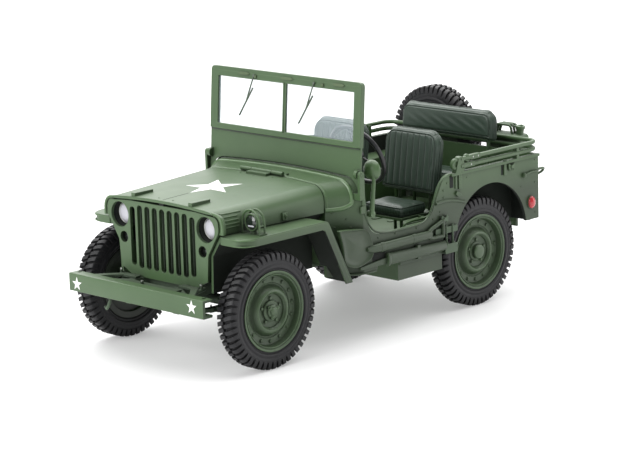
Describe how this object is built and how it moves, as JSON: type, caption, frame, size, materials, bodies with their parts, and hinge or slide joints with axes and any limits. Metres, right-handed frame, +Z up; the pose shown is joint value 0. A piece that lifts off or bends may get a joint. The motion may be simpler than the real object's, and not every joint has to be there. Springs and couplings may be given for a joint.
{
  "type": "open military utility car model",
  "caption": "Model of an open four-wheel-drive military utility car with folding windshield, opening hood and steering front wheels.",
  "frame": {"origin": "on the ground, below the middle of the car's length and width", "axes": "+X forward, +Y to the car's left, +Z up"},
  "size_m": [0.18, 0.08, 0.092],
  "materials": {
    "olive_body": "satin olive green paint",
    "chassis_green": "satin dark olive paint",
    "tyre_rubber": "matt black rubber",
    "seat_green": "dark green, fine grain",
    "black_plastic": "semi-gloss black",
    "window_glass": "clear sheet",
    "lamp_lens": "clear lens",
    "red_lens": "clear red"
  },
  "bodies": {
    "root": {"axe": "olive_body", "blackout_lamp": "olive_body", "cowl": "olive_body", "dashboard": "olive_body", "drive_shafts": "chassis_green", "engine_block": "chassis_green", "exhaust": "chassis_green", "fender_left": "olive_body", "fender_right": "olive_body", "floor_pan": "olive_body", "frame_rails": "chassis_green", "front_axle": "chassis_green", "front_bumper": "olive_body", "front_seat_backs": "seat_green", "front_seat_cushions": "seat_green", "front_seat_frames": "olive_body", "fuel_can": "olive_body", "fuel_can_rack": "olive_body", "fuel_tank_well": "olive_body", "gearbox": "chassis_green", "grille": "olive_body", "headlights": "lamp_lens", "leaf_springs": "chassis_green", "levers_and_pedals": "olive_body", "marker_lamps": "lamp_lens", "mirror": "olive_body", "radiator": "chassis_green", "rear_axle": "chassis_green", "rear_bumperettes": "olive_body", "rear_panel": "olive_body", "rear_seat_back": "seat_green", "rear_seat_cushion": "seat_green", "rear_seat_frame": "olive_body", "shovel": "olive_body", "side_panel_left": "olive_body", "side_panel_right": "olive_body", "spare_carrier": "chassis_green", "spare_rim": "olive_body", "spare_tyre": "tyre_rubber", "steering_column": "black_plastic", "tail_lamps": "red_lens", "top_bows": "olive_body", "tow_hook": "chassis_green", "wheel_boxes": "olive_body"},
    "hood": {"hood": "olive_body"},
    "windshield": {"windshield_frame": "olive_body", "windshield_glass": "window_glass", "wipers": "black_plastic"},
    "steering_wheel": {"steering_wheel": "black_plastic"},
    "knuckle_left": {"steering_knuckle_left": "chassis_green"},
    "knuckle_right": {"steering_knuckle_right": "chassis_green"},
    "tie_rod": {"tie_rod": "chassis_green"},
    "wheel_front_left": {"tyre_front_left": "tyre_rubber", "rim_front_left": "olive_body"},
    "wheel_front_right": {"tyre_front_right": "tyre_rubber", "rim_front_right": "olive_body"},
    "wheel_rear_left": {"tyre_rear_left": "tyre_rubber", "rim_rear_left": "olive_body"},
    "wheel_rear_right": {"tyre_rear_right": "tyre_rubber", "rim_rear_right": "olive_body"}
  },
  "joints": [
    {"name": "hood_hinge", "type": "hinge", "parent": "root", "child": "hood", "pos_m": [0.02718, 0, 0.05875], "axis": [0, -1, 0], "range_deg": [0, 75]},
    {"name": "windshield_fold", "type": "hinge", "parent": "root", "child": "windshield", "pos_m": [0.017, 0, 0.06], "axis": [0, -1, 0], "range_deg": [-97, 0]},
    {"name": "steering_wheel_turn", "type": "hinge", "parent": "root", "child": "steering_wheel", "pos_m": [-0.0046, 0.017, 0.0615], "axis": [-0.9063, 0, 0.4226], "range_deg": [-100.5, 100.5]},
    {"name": "steer_left", "type": "hinge", "parent": "root", "child": "knuckle_left", "pos_m": [0.0623, 0.0285, 0.0204], "axis": [0, 0, 1], "range_deg": [-20, 20]},
    {"name": "steer_right", "type": "hinge", "parent": "root", "child": "knuckle_right", "pos_m": [0.0623, -0.0285, 0.0204], "axis": [0, 0, 1], "range_deg": [-20.1, 20.1]},
    {"name": "tie_rod_slide", "type": "slide", "parent": "root", "child": "tie_rod", "axis": [0, 1, 0], "range_m": [-0.0028, 0.0028]},
    {"name": "wheel_front_left_spin", "type": "hinge", "parent": "knuckle_left", "child": "wheel_front_left", "pos_m": [0.0623, 0.0361, 0.0204], "axis": [0, 1, 0], "continuous": true},
    {"name": "wheel_front_right_spin", "type": "hinge", "parent": "knuckle_right", "child": "wheel_front_right", "pos_m": [0.0623, -0.0361, 0.0204], "axis": [0, 1, 0], "continuous": true},
    {"name": "wheel_rear_left_spin", "type": "hinge", "parent": "root", "child": "wheel_rear_left", "pos_m": [-0.0485, 0.0324, 0.0204], "axis": [0, 1, 0], "continuous": true},
    {"name": "wheel_rear_right_spin", "type": "hinge", "parent": "root", "child": "wheel_rear_right", "pos_m": [-0.0485, -0.0324, 0.0204], "axis": [0, 1, 0], "continuous": true}
  ],
  "couplings": [
    {"joint": "steering_wheel_turn", "follows": "steer_left", "ratio": 5},
    {"joint": "steer_right", "follows": "steer_left", "ratio": 1},
    {"joint": "tie_rod_slide", "follows": "steer_left", "m_per_rad": -0.0079}
  ]
}
